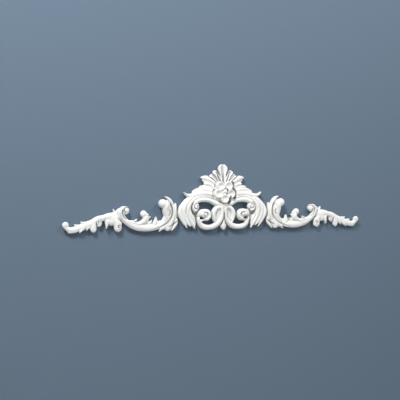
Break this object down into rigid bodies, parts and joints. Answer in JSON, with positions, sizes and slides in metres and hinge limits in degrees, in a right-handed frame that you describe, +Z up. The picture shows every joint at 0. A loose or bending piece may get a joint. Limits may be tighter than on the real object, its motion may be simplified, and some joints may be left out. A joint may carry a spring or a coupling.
{
  "type": "door pediment ornament",
  "caption": "Cast door pediment: flower and palmette crest over crossing scrolls, with acanthus wings, C-scrolls and end leaves, flat at the back to fix to a wall or door head",
  "frame": {"origin": "on the wall plane at the back, on the symmetry axis where the two scroll bands cross", "axes": "+X to the right along the door head, +Y into the wall, +Z up; the carved front faces -Y"},
  "size_m": [1.097, 0.036, 0.2254],
  "materials": {
    "cast_white": "primed white cast, soft satin"
  },
  "bodies": {
    "root": {"pediment": "cast_white"}
  },
  "joints": []
}
